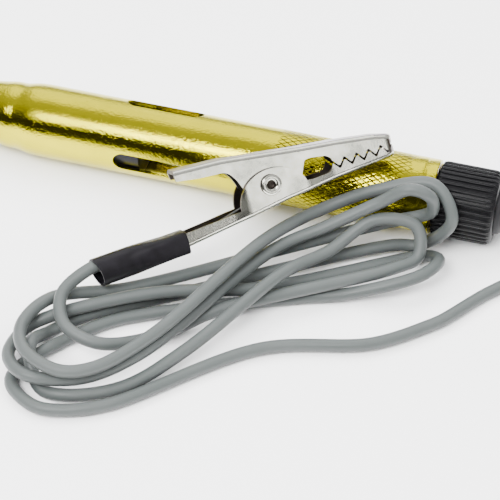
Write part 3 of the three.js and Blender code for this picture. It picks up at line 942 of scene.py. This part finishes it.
@dataclass
class Barrel:
    """The brass tube with its shoulder, nose cone, windows and line knurl."""

    sides: int = 320
    wall: float = 0.8
    seam: float = 21.0
    knurl: Knurl = field(default_factory=Knurl)
    knurl_step: float = 0.15
    groove_half: float = 0.15
    groove_depth: float = 0.06
    ring_line: float = 55.6
    slot_middle: float = 1.0
    slot_length: float = 16.0
    slot_width: float = 4.1
    slot_angles: tuple[float, ...] = (181, 61, -59)
    nose: list[Station] = field(default_factory=lambda: [
        (-24.5, 7.5), (-26.5, 7.35), (-28, 7.05), (-29, 6.88), (-31, 6.85), (-33, 6.57), (-35.5, 6.2),
        (-40, 5.35), (-45, 4.45), (-50, 3.6),
    ])

    def outer(self) -> list[Station]:
        """Gives the outer line from the nose tip to the rear."""
        curve = smooth_line([(-18.0, 7.5), *self.nose], 0.5)[::-1]
        line = [(float(x), float(r)) for x, r in curve]
        line += [(x, BARREL_R) for x in np.arange(-17.0, self.seam, 1.0)]
        return line

    def rear(self) -> list[Station]:
        """Gives the outer line from the seam to the rear end, close-set over the knurl."""
        first, last = self.knurl.start, self.knurl.end
        line = [(self.seam, BARREL_R), (22.5, BARREL_R)]
        line += [(x, BARREL_R) for x in np.arange(first, last + 0.01, self.knurl_step)]
        line += [(54.5, BARREL_R)]
        line += [(self.ring_line + d, BARREL_R - depth) for d, depth in
                 ((-0.12, 0), (-0.05, 0.06), (0.05, 0.06), (0.12, 0))]
        line += [(BARREL_REAR - 0.25, BARREL_R), (BARREL_REAR - 0.06, BARREL_R - 0.06),
                 (BARREL_REAR, BARREL_R - 0.22)]
        return line

    def groove(self, x: np.ndarray, angle: np.ndarray) -> np.ndarray:
        """Gives how deep in a knurl groove each point is.

        Args:
            x: Places along the tube.
            angle: Places round it, in radians.

        Returns:
            Values from 0, on the surface, to 1, at the bottom of a groove.
        """
        pitch = self.knurl.pitch()
        round_it = angle * BARREL_R
        deepest = np.zeros_like(x)
        for way in (-1, 1):
            phase = (round_it + way * x * self.knurl.slant) / pitch
            off = np.abs(phase - np.round(phase)) * pitch * math.cos(math.atan(self.knurl.slant))
            fade = np.clip((x - self.knurl.start - 1) / 1.5, 0, 1)
            fade = fade * np.clip((self.knurl.end - 1 - x) / 1.5, 0, 1)
            deepest = np.maximum(deepest, np.clip(1 - off / self.groove_half, 0, 1) * fade)
        return deepest

    def front_part(self) -> bpy.types.Object:
        """Makes the front of the tube, with its windows cut through."""
        outer = self.outer() + [(self.seam, BARREL_R)]
        tip_x, tip_r = outer[0]
        outer[0] = (tip_x + 0.12, tip_r + 0.01)
        inner = [(x, r - self.wall) for x, r in outer[::-1][::2]]
        profile = [(tip_x, tip_r - 0.15), *outer, (self.seam, BARREL_R - self.wall), *inner[1:],
                   (tip_x, tip_r - self.wall + 0.1)]
        tube = add_object("barrel_front", *revolve(profile, self.sides))
        straight = (self.slot_length - self.slot_width) / 2
        half = self.slot_width / 2
        for degrees in self.slot_angles:
            rim = []
            for i in range(48):
                a = 2 * math.pi * (i + 0.5) / 48
                rim.append((self.slot_middle + math.copysign(straight, math.cos(a)) + half * math.cos(a),
                            half * math.sin(a)))
            levels = [(4.5, 0.0), (BARREL_R - 0.18, 0.0), (BARREL_R - 0.04, 0.05), (9.5, 1.3)]
            verts: list[Point] = []
            for level, grow in levels:
                for x, y in rim:
                    middle = Vector((self.slot_middle, 0))
                    side = Vector((x, y)) - middle
                    core = max(-straight, min(straight, side.x))
                    out = (side - Vector((core, 0))).normalized() * grow
                    verts.append((x + out.x, y + out.y, level))
            faces = ring_faces(len(levels), len(rim))
            turn = Matrix.Rotation(math.radians(degrees - 90), 4, "X")
            cutter = add_object("window_cutter", verts, faces,
                                place=Matrix.Translation((0, 0, AXIS_Z)) @ turn)
            combine(tube, cutter, Join.CUT)
        return tube

    def rear_part(self) -> tuple[list[Point], list[tuple]]:
        """Makes the rear of the tube with its knurl cut in, open where it meets the front."""
        outer = self.rear()
        inner = [(BARREL_REAR, BARREL_R - self.wall + 0.15), (BARREL_REAR - 0.15, BARREL_R - self.wall),
                 (self.seam, BARREL_R - self.wall)]
        verts, faces = revolve(outer + inner, self.sides, closed=False)
        points = np.array(verts)
        depth = self.groove(points[:, 0], np.arctan2(points[:, 2], points[:, 1]))
        reach = np.hypot(points[:, 1], points[:, 2])
        on_skin = (reach > BARREL_R - 0.01) & (points[:, 0] > 23) & (points[:, 0] < 54)
        share = np.where(on_skin, 1 - depth * self.groove_depth / BARREL_R, 1)
        points[:, 1:] *= share[:, None]
        return [tuple(p) for p in points], faces

    def build(self) -> None:
        """Makes the tube as one piece and dresses it."""
        front = self.front_part()
        rear = add_object("barrel_rear", *self.rear_part())
        work = bmesh.new()
        work.from_mesh(front.data)
        seam = self.seam * MM
        lids = [f for f in work.faces if all(abs(v.co.x - seam) < 1e-6 for v in f.verts)]
        bmesh.ops.delete(work, geom=lids, context="FACES_ONLY")
        work.from_mesh(rear.data)
        bmesh.ops.remove_doubles(work, verts=work.verts, dist=2e-6)
        bmesh.ops.recalc_face_normals(work, faces=work.faces)
        mesh = bpy.data.meshes.new("barrel_tube")
        work.to_mesh(mesh)
        work.free()
        for old in (front, rear):
            bpy.data.objects.remove(old)
        mesh.polygons.foreach_set("use_smooth", [True] * len(mesh.polygons))
        mesh.set_sharp_from_angle(angle=math.radians(50))
        piece = place_object("barrel_tube", mesh)
        furnish(piece, BRASS, "root", "brass", "barrel")


# ---------------------------------------------------------------- nose and lamp


@dataclass
class Nose:
    """The probe and the insulator that holds it."""

    probe_r: float = 1.2
    insulator_rear: float = -2.0
    tip: float = -50.0

    def build(self) -> None:
        """Makes the probe and the insulator."""
        r = self.probe_r
        point = [(PROBE_TIP, 0), (PROBE_TIP + 0.25, 0.12), (-80, 0.52), (-76.5, 0.9), (-74, r - 0.02)]
        steps = [(-72, r), (-58.2, r), (-58, r - 0.1), (-57.4, r - 0.1), (-57.2, r)]
        profile = [*point, *steps, (-13.6, r), (-13.6, 0)]
        probe = turned("probe", profile, rounding=0.05, sides=48, sharp=30)
        furnish(probe, PROBE_STEEL, "root", "steel", "probe_needle")
        body = [(x, r - 1.1) for x, r in Barrel().nose[1:-1]]
        front = self.tip - 3
        outline = [(self.insulator_rear, 3.7), (self.insulator_rear, 6.4), (-24.5, 6.4), *body,
                   (self.tip, 2.5), (front + 0.6, 2.5), (front, 2), (front, 1.5), (-13, 1.5), (-13, 3.7)]
        insulator = turned("nose_bush", outline, rounding=0.2)
        furnish(insulator, INSULATOR_BLACK, "root", "black_plastic", "nose_insulator")


@dataclass
class Lamp:
    """The glass lamp with its two metal ends and its filament."""

    front: float = -8.0
    rear: float = 19.0
    glass_r: float = 4.4
    end_r: float = 3.1
    glass_wall: float = 0.4

    def end_cap(self, name: str, node: str, seat: float, way: int) -> None:
        """Makes one metal end.

        Args:
            name: The piece's name.
            node: The plain solid that it replaces.
            seat: Where its closed end is.
            way: 1 when it opens towards the rear, or -1.
        """
        steps = [(0, 0), (0, 1.9), (0.5, 2.9), (0.9, self.end_r), (2.3, self.end_r), (2.5, self.end_r - 0.12),
                 (2.9, self.end_r - 0.12), (3.1, self.end_r), (5.5, self.end_r), (5.5, 2.8), (1.2, 2.8),
                 (1.2, 0)]
        cap = turned(name, [(seat + way * x, r) for x, r in steps], rounding=0.12, sides=64)
        furnish(cap, NICKEL, "root", "nickel", node)

    def build(self) -> None:
        """Makes the glass, its ends and the filament."""
        self.end_cap("lamp_end_front", "lamp_front_cap", self.front, 1)
        self.end_cap("lamp_end_rear", "lamp_rear_cap", self.rear, -1)
        half = [(2, 2.5), (6, 2.5), (7, 3.3), (8.5, 4.1), (10.5, self.glass_r)]
        line = [(self.front + x, r) for x, r in half] + [(self.rear - x, r) for x, r in half[::-1]]
        outer = [tuple(p) for p in smooth_line(line, 0.5)]
        inner = [(x, r - self.glass_wall) for x, r in outer[::-1]]
        glass = turned("lamp_tube", outer + inner, rounding=0, sides=64)
        furnish(glass, ClearGlass(), "root", "glass", "lamp_glass")
        self.filament()

    def filament(self) -> None:
        """Makes the two lead wires and the fine coil between them."""
        turns, reach, start = 14, 6.0, self.front + 10.5
        points = [(self.front + 1.6, 0, 0), (self.front + 8.5, 0, 0)]
        for i in range(turns * 8 + 1):
            a = i / 8 * 2 * math.pi
            points.append((start + reach * i / (turns * 8), 0.55 * math.sin(a), 0.55 * math.cos(a)))
        points += [(self.rear - 8.5, 0, 0), (self.rear - 1.6, 0, 0)]
        piece = add_object("lamp_wire", *follow(smooth_line(points, 0.2), 0.09, 8))
        furnish(piece, SPRING_STEEL, "root", "steel", "lamp_filament")


@dataclass
class Contacts:
    """What lies behind the lamp: contact cups, spring, terminal, lining and bush."""

    coil_front: float = 20.7
    coil_rear: float = 39.9
    coil_r: float = 2.6
    coil_turns: float = 9.0
    wire_r: float = 0.35

    def build(self) -> None:
        """Makes the contact pieces."""
        kit = coil_tree(Paint.of(SPRING_STEEL))
        lie_down = Matrix.Translation((self.coil_front, 0, AXIS_Z)) @ Matrix.Rotation(math.pi / 2, 4, "Y")
        values = {"Turns": self.coil_turns, "Radius": self.coil_r,
                  "Height": self.coil_rear - self.coil_front, "Wire": self.wire_r}
        settle(kit.run("lamp_spring", values, lie_down), "root", "steel", "contact_spring")
        plain = {"front_contact": INNER_BRASS, "rear_contact": INNER_BRASS, "terminal_disc": INNER_BRASS,
                 "stripped_core": COPPER, "clip_core": COPPER}
        for node, finish in plain.items():
            Paint.dress(frame["nodes"][node], finish)
        lining = turned("lamp_lining", [(14.5, 4.9), (42.3, 5.8), (46, 5.8), (46, 6.4), (14.5, 6.4)], 0.15)
        furnish(lining, LINING_WHITE, "root", "white_plastic", "rear_lining")
        self.bush()

    def bush(self) -> None:
        """Makes the threaded bush with a 1 mm thread inside."""
        outline = [(46.8, 6.4), (46.8, 5.35)]
        for i in range(10):
            x = 47.3 + i
            outline += [(x, 5.6), (x + 0.5, 5.32)]
        outline += [(BARREL_REAR - 0.2, 5.5), (BARREL_REAR, 5.6), (BARREL_REAR, 6.4)]
        bush = turned("bush", outline, rounding=0.04)
        furnish(bush, INNER_BRASS, "root", "brass", "thread_bush")


# ---------------------------------------------------------------- cap and strain relief


@dataclass
class RearCap:
    """The ribbed screw cap."""

    front: float = BARREL_REAR + 0.3
    ribs: int = 36
    rib_r: float = 0.36
    root_r: float = 7.12
    bore: float = 3.2
    rear_bore: float = 2.6
    seat_r: float = 5.4
    seat_depth: float = 0.6

    def profile(self) -> list[Station]:
        """Gives the cap's section, with the thread on its spigot."""
        thread: list[Station] = [(47.2, 4.5)]
        for i in range(10):
            x = 47.7 + i
            thread += [(x, 4.98), (x + 0.5, 4.68)]
        return [
            (47.2, self.bore), *thread, (self.front, 4.68), (self.front, 6.75),
            (self.front + 0.35, self.root_r),
            (CAP_REAR - 1.0, self.root_r), (CAP_REAR - 0.55, 7.0), (CAP_REAR - 0.15, 6.7), (CAP_REAR, 6.3),
            (CAP_REAR, self.seat_r), (CAP_REAR - self.seat_depth, self.seat_r),
            (CAP_REAR - self.seat_depth, self.rear_bore), (66, self.rear_bore), (66, self.bore),
        ]

    def rib(self) -> bpy.types.Object:
        """Makes one rib with soft ends, at its place above the axis."""
        first, last = self.front + 0.25, CAP_REAR - 0.35
        path = np.array([(x, 0, 0) for x in np.linspace(first, last, 18)])
        height = BARREL_R - self.rib_r

        def taper(share: float) -> float:
            """Gives the rib's radius at a share of its length."""
            ends = min(share / 0.05, (1 - share) / 0.07, 1)
            return self.rib_r * (0.35 + 0.65 * math.sin(ends * math.pi / 2))

        verts, faces = follow(path, taper, 12)
        drop = [max(0.0, (v[0] - last + 0.9) / 0.9) * 0.3 for v in verts]
        lifted = [(v[0], v[1], v[2] + height - d) for v, d in zip(verts, drop)]
        rib = add_object("rib", lifted, faces, place=Matrix.Scale(1 / MM, 4))
        return rib

    def build(self) -> None:
        """Makes the cap's body and its ribs, two pieces that move with the cap."""
        body = turned("cap_shell", self.profile(), rounding=0.1, sides=144)
        Paint.dress(body, CAP_BLACK)
        rib = self.rib()
        kit = rib_tree(Paint.of(CAP_BLACK))
        ribs = kit.run("cap_ribs", {"Rib": rib, "Count": self.ribs}, Matrix.Translation((0, 0, AXIS_Z)))
        bpy.data.objects.remove(rib)
        Paint.dress(ribs, CAP_BLACK)
        settle(body, "cap", "black_plastic", "rear_cap")
        settle(ribs, "cap", "black_plastic")


@dataclass
class StrainRelief:
    """The rubber strain relief in the cap's rear, and the cord's stop ring inside."""

    flange_r: float = 5.0
    bore: float = 1.4

    def build(self) -> None:
        """Makes the relief and the ring."""
        x0 = CAP_REAR - 0.3
        outline = [(66.5, self.bore), (66.5, 2.3), (x0, 2.3), (x0, self.flange_r - 0.05),
                   (x0 + 0.35, self.flange_r), (x0 + 1.2, self.flange_r - 0.12), (x0 + 2.0, 4.2),
                   (x0 + 2.5, 3.3), (x0 + 3.2, 2.95)]
        x = 74.2
        while x < RELIEF_END - 1.6:
            r = 2.9 - 0.085 * (x - 74.2)
            outline += [(x, r), (x + 0.9, r - 0.03), (x + 1.1, r - 0.4), (x + 1.5, r - 0.42)]
            x += 1.7
        outline += [(RELIEF_END - 0.35, 2.0), (RELIEF_END, 1.75), (RELIEF_END, self.bore)]
        relief = turned("relief", outline, rounding=0.16, sides=96)
        furnish(relief, RUBBER, "strain_relief", "rubber", "cable_grommet")
        ring = turned("stop_ring", [(60.5, 1.5), (60.5, 2.8), (61.2, 2.8), (61.5, 2.55), (62.5, 2.55),
                                    (62.8, 2.8), (63.5, 2.8), (63.5, 1.5)], rounding=0.1, sides=48)
        furnish(ring, NICKEL, "root", "nickel", "cord_stop")


# ---------------------------------------------------------------- the clip


@dataclass
class Jaw:
    """One jaw of the clip: a folded sheet trimmed to its outline."""

    name: str
    node: str
    body: str
    back: list[Station]
    widths: list[Station]
    outline: list[Station]
    upper: bool
    sheet: float = 0.7
    bend: float = 0.95
    nose_wall: float = 24.9
    nose_end: float = 26.0
    corner_r: float = 1.4
    hole_r: float = 1.6

    def section(self, x: float) -> list[tuple[float, float]]:
        """Gives the folded sheet's section at one station.

        Args:
            x: The station along the clip.

        Returns:
            Points as (y, z), from one cheek's free edge round the back to the other and back inside.
        """
        xs, ys = zip(*sorted(self.back))
        back = float(np.interp(x, xs, ys))
        wx, ws = zip(*sorted(self.widths))
        half = float(np.interp(x, wx, ws))
        into = min(max((x - self.nose_end + self.corner_r) / self.corner_r, 0.0), 1.0)
        half -= self.corner_r * (1 - math.sqrt(1 - into * into)) * 0.9
        up = -1.0 if self.upper else 1.0
        free = back + up * 14
        bend = min(self.bend, half * 0.6)
        outside, inside = [(free, half)], [(free, half - self.sheet)]
        for k in range(7):
            a = math.pi / 2 * k / 6
            outside.append((back + up * bend * (1 - math.sin(a)), half - bend * (1 - math.cos(a))))
            small = max(bend - self.sheet, 0.12)
            room = half - self.sheet
            small = min(small, room * 0.7)
            inside.append((back + up * (self.sheet + small * (1 - math.sin(a))),
                           room - small * (1 - math.cos(a))))
        left_out = [(y, -z) for y, z in outside[::-1]]
        left_in = [(y, -z) for y, z in inside]
        return outside + left_out + left_in + inside[::-1]

    def folded(self) -> bpy.types.Object:
        """Makes the untrimmed folded sheet."""
        start, corner = min(x for x, _ in self.back) - 0.5, self.nose_end - self.corner_r
        xs = np.concatenate([np.arange(start, corner, 0.6), np.linspace(corner, self.nose_end + 0.4, 16)])
        verts: list[Point] = []
        for x in xs:
            verts += [(float(x), y, z) for y, z in self.section(float(x))]
        faces = ring_faces(len(xs), len(verts) // len(xs))
        return add_object(self.name, verts, faces, place=ClipFrame.matrix)

    def prism(self, outline: Sequence[Station], half: float, name: str) -> bpy.types.Object:
        """Makes a plate of an outline, as thick as twice the half width."""
        n = len(outline)
        verts = [(x, y, -half) for x, y in outline] + [(x, y, half) for x, y in outline]
        faces: list[tuple] = [tuple(range(n))[::-1], tuple(range(n, 2 * n))]
        faces += [(i, (i + 1) % n, n + (i + 1) % n, n + i) for i in range(n)]
        return add_object(name, verts, faces, place=ClipFrame.matrix)

    def build(self) -> bpy.types.Object:
        """Makes the jaw, rounds its cut edges a little and dresses it."""
        piece = self.folded()
        xs, ys = zip(*sorted(self.back))
        near, far = self.nose_wall, 26.5
        free = 2.0 if not self.upper else -2.0
        inset = 0.97  # keeps the wall just inside the back
        low, high = (float(np.interp(x, xs, ys)) * inset for x in (near, far))
        wall = self.prism([(near, low), (far, high), (far, free), (near, free)], 1.6, "nose_wall")
        combine(piece, wall, Join.ADD)
        combine(piece, self.prism(self.outline, 6, "outline"), Join.KEEP_SHARED)
        hole = [(self.hole_r * math.cos(a), self.hole_r * math.sin(a))
                for a in np.linspace(0, 2 * math.pi, 48, endpoint=False)]
        combine(piece, self.prism(hole, 6, "hole"), Join.CUT)
        bevel = piece.modifiers.new("edges", "BEVEL")
        bevel.width = 0.09 * MM
        bevel.segments = 2
        bevel.limit_method = "ANGLE"
        bevel.angle_limit = math.radians(40)
        bpy.context.view_layer.update()
        apply_modifiers(piece)
        finish_mesh(piece.data, 35)
        flatten = piece.modifiers.new("flat_cheeks", "WEIGHTED_NORMAL")
        flatten.keep_sharp = True
        bpy.context.view_layer.update()
        apply_modifiers(piece)
        self.dress(piece)
        return settle(piece, self.body, "nickel", self.node)

    def dress(self, piece: bpy.types.Object) -> None:
        """Puts bright plate on the cheeks, a darker copy of the plate as painted shade on the back,
        near-black painted shade inside, and bare steel darkened as painted shade on the cut edges.
        """
        piece.data.materials.clear()
        # slot 1 is a darker plate as painted shade, slot 2 darkened cut edges as painted shade, slot 3
        # near-black painted shade
        for finish in (NICKEL, NICKEL_BACK_PAINTED_SHADE, CUT_EDGE_PAINTED_SHADE, NICKEL_INSIDE_PAINTED_SHADE):
            piece.data.materials.append(Paint.of(finish))
        inverse = ClipFrame.matrix.inverted()
        turn = inverse.to_3x3()
        xs, ys = zip(*sorted(self.back))
        way = 1.0 if self.upper else -1.0
        for face in piece.data.polygons:
            normal = turn @ face.normal
            spot = inverse @ (face.center / MM)
            to_back = way * (float(np.interp(spot.x, xs, ys)) - spot.y)
            inward = normal.z * spot.z < 0 or way * normal.y < -0.7
            if abs(normal.z) > 0.96 or (abs(normal.z) > 0.6 and to_back < 1.2):
                # outer cheeks get the bright plate; inner cheek faces get near-black painted shade
                face.material_index = 3 if inward and abs(spot.z) > 0.3 else 0
            elif to_back < 0.6 and way * normal.y > 0.3:
                # the back gets the darker plate as painted shade
                face.material_index = 1
            elif inward and to_back < 1.2:
                # the inside of the fold gets near-black painted shade
                face.material_index = 3
            elif spot.x > 25 and normal.x > 0.5:
                # the nose end gets the darker plate as painted shade
                face.material_index = 1
            else:
                # cut edges get bare steel darkened as painted shade
                face.material_index = 2


def tooth_line(shift: float) -> list[Station]:
    """Gives the zigzag of the teeth, moved up by the shift."""
    start, pitch, height, count = 13.1, 2.55, 1.3, 5
    line: list[Station] = []
    for i in range(count * 2 + 1):
        y = (-0.5 if i % 2 else 0.5) * height - 0.05 + shift
        x = start + i * pitch / 2
        if i in (0, count * 2):
            line.append((x, y))
        else:
            line += [(x - 0.14, y), (x + 0.14, y)]
    return line


def arc(middle: Station, radii: Station, first: float, last: float, steps: int) -> list[Station]:
    """Gives points on an ellipse between two angles in degrees."""
    angles = [math.radians(first + (last - first) * i / steps) for i in range(steps + 1)]
    return [(middle[0] + radii[0] * math.cos(a), middle[1] + radii[1] * math.sin(a)) for a in angles]


@dataclass
class Clip:
    """The spring clip: two jaws, rivet, spring and sleeve."""

    tooth_gap: float = 0.31
    lower_back: list[Station] = field(default_factory=lambda: [
        (-31, -8.1), (-24, -7.8), (-19.5, -7.35), (-6.9, -5.4), (2.6, -3.9), (13.5, -2.8), (24.6, -2.1),
        (26.5, -1.9),
    ])
    lower_width: list[Station] = field(default_factory=lambda: [
        (-32, 1), (-25, 1.2), (-19.5, 2.45), (-8, 3.3), (-5, 3.8), (7, 3.8), (13, 3), (26, 2.4),
    ])
    upper_back: list[Station] = field(default_factory=lambda: [
        (-17.7, 7.83), (-8.1, 7.3), (7.4, 5.2), (14.6, 4.4), (22.7, 3.2), (26.5, 2.2),
    ])
    upper_width: list[Station] = field(default_factory=lambda: [
        (-18, 3.2), (-9, 2.9), (13, 2.9), (26, 2.4),
    ])

    def lower(self) -> Jaw:
        """Describes the lower jaw."""
        outline = [
            (-31, -9), (25.1, -9), (25.4, -2.1), (25.85, -1.6), (26, -1),
            *tooth_line(-self.tooth_gap)[::-1],
            *fillet([(13.1, 0.4), (12.6, -0.8), (11.6, -1.3), (8.6, -1.4), (7.3, -1.25)], 0.5,
                    closed=False)[1:-1],
            *arc((0.4, -3.4), (7.2, 6.45), 19, 180, 48),
            (-8.5, -3.5), (-12.5, -3.9), (-18, -4.4), (-20.5, -5.3), (-24, -7.1), (-31, -7.4),
        ]
        return Jaw("jaw_lower", "clip_lower_jaw", "root", self.lower_back, self.lower_width, outline, False)

    def upper(self) -> Jaw:
        """Describes the upper jaw."""
        outline = [
            (25.2, 9), (-17.2, 9), (-17.65, 7.1), (-17.45, 5.75), (-13.2, 5.1),
            *fillet([(-10, 4.85), (-8.3, 4.8), (-7.2, 4.3), (-6, 2.7), (-5.1, 0.2)], 0.9, closed=False),
            (-4, -0.9), *arc((0, 0), (2.7, 2.7), -160, -30, 16), (6.4, -0.8),
            *fillet([(6.8, 0.2), (7.8, 2.55), (9, 2.65), (12.1, 2.15), (13, 1.4)], 0.4, closed=False),
            *tooth_line(self.tooth_gap), (25.95, 1.6),
        ]
        return Jaw("jaw_upper", "clip_upper_jaw", "upper_jaw", self.upper_back, self.upper_width, outline,
                   True)

    def rivet(self) -> bpy.types.Object:
        """Makes the hollow rivet with its rolled ends, with painted shade in its hole and in a thin ring
        round the foot of each head.
        """
        under, top, hole, shaft, head = 4.02, 4.55, 0.75, 1.25, 2.05
        side = [(under, shaft), (under, head - 0.15), (under + 0.12, head), (under + 0.3, head),
                (top - 0.02, head - 0.35), (top, head - 0.75), (top - 0.12, hole + 0.25), (top - 0.4, hole)]
        near = [(side[-1][0] - 0.5, hole - 0.05), (side[-1][0] - 0.7, 0)]
        outline = [(-x, r) for x, r in near[::-1]] + [(-x, r) for x, r in side[::-1]] + side + near
        stand = ClipFrame.matrix @ Matrix.Rotation(-math.pi / 2, 4, "Y")
        piece = turned("rivet", outline, rounding=0.12, sides=64, place=stand)
        Paint.dress(piece, NICKEL)
        piece.data.materials.append(Paint.of(NICKEL_INSIDE_PAINTED_SHADE))
        inverse = ClipFrame.matrix.inverted()
        for face in piece.data.polygons:
            spot = inverse @ (face.center / MM)
            reach = math.hypot(spot.x, spot.y)
            # the hole and a thin ring round the foot of each head get near-black painted shade
            if reach < hole + 0.12 or (reach > head - 0.3 and abs(spot.z) < under + 0.34):
                face.material_index = 1
        return settle(piece, "root", "nickel", "clip_rivet")

    def springs(self) -> list[bpy.types.Object]:
        """Makes the torsion spring's coil and its moving arm."""
        r, turns = 2.15, 3.5
        points = [(-11, -4.75, -1.6), (-4, -2.95, -1.6)]
        steps = int(turns * 24)
        for i in range(steps + 1):
            a = math.radians(-110) + i / 24 * 2 * math.pi
            points.append((r * math.cos(a), r * math.sin(a), -1.6 + 3 * i / steps))
        made = []
        arm = [(-0.6, 2.75, 1.4), (-6, 4.6, 1.2), (-12, 6.35, 1)]
        for name, node, line, body in (("spring_coil", "clip_spring", points, "root"),
                                       ("spring_arm", "clip_spring_arm", arm, "upper_jaw")):
            piece = add_object(name, *follow(smooth_line(line, 0.4), 0.25, 12), place=ClipFrame.matrix)
            Paint.dress(piece, SPRING_STEEL)
            made.append(settle(piece, body, "steel", node))
        return made

    def sleeve(self) -> bpy.types.Object:
        """Makes the shrunk sleeve, boxy over the clip's tail and round over the cord."""
        front, rear, wall, sides = -18.3, -37.6, 0.5, 72
        stations = [i / 60 for i in range(61)]

        def ring(share: float, inset: float) -> list[Point]:
            """Gives one ring of the sleeve.

            Args:
                share: How far it is from the cord's end to the clip's end.
                inset: How far it lies inside the outer skin.

            Returns:
                The ring's points.
            """
            boxy = min(1, max(0, (share - 0.35) / 0.5))
            boxy = boxy * boxy * (3 - 2 * boxy)
            tall = 2.85 + (2.25 - 2.85) * boxy - inset
            wide = 2.85 + (3.3 - 2.85) * boxy - inset
            power = 2 + 3 * boxy
            middle = -6.85 + 0.7 * share
            points = []
            for k in range(sides):
                a = 2 * math.pi * k / sides
                c, s = abs(math.cos(a)), abs(math.sin(a))
                reach = (c**power + s**power) ** (-1 / power)
                crease = 0.05 * math.sin(3 * a + 9 * share) * math.sin(math.pi * min(1, share * 1.2)) * boxy
                slant = 0.6 * (1 + math.cos(a)) + 0.45 * (1 - math.sin(a))
                x = rear + (front - rear) * share + slant * (1 - share) ** 6
                points.append((x, middle + math.sin(a) * (reach * tall - crease * (inset == 0)),
                               math.cos(a) * (reach * wide - crease * (inset == 0))))
            return points

        rows = [ring(t, 0) for t in stations]
        rows[0] = ring(0, 0.12)
        rows.insert(1, ring(0.006, 0))
        rows[-1] = ring(1, 0.12)
        rows.insert(-1, ring(0.994, 0))
        rows += [ring(t, wall) for t in stations[::-1][::3]]
        verts = [point for row in rows for point in row]
        faces = ring_faces(len(rows), sides, joined=True)
        piece = add_object("sleeve", verts, faces, place=ClipFrame.matrix, sharp=55)
        return furnish(piece, SLEEVE_BLACK, "root", "black_sleeve", "clip_sleeve")

    def build(self) -> list[bpy.types.Object]:
        """Makes every piece of the clip and returns those on the cord."""
        return [self.lower().build(), self.upper().build(), self.rivet(), *self.springs(), self.sleeve(),
                frame["nodes"]["clip_core"]]


def main() -> None:
    """Builds the studio, the cord and every sub-assembly in order."""
    logging.basicConfig(level=logging.INFO, format="%(message)s")
    Studio().build()
    cord = Cord()
    jacket = cord.build()
    on_cord = Clip().build()
    for assembly in (Barrel(), Nose(), Lamp(), Contacts(), RearCap(), StrainRelief()):
        assembly.build()


if __name__ == "__main__":
    main()
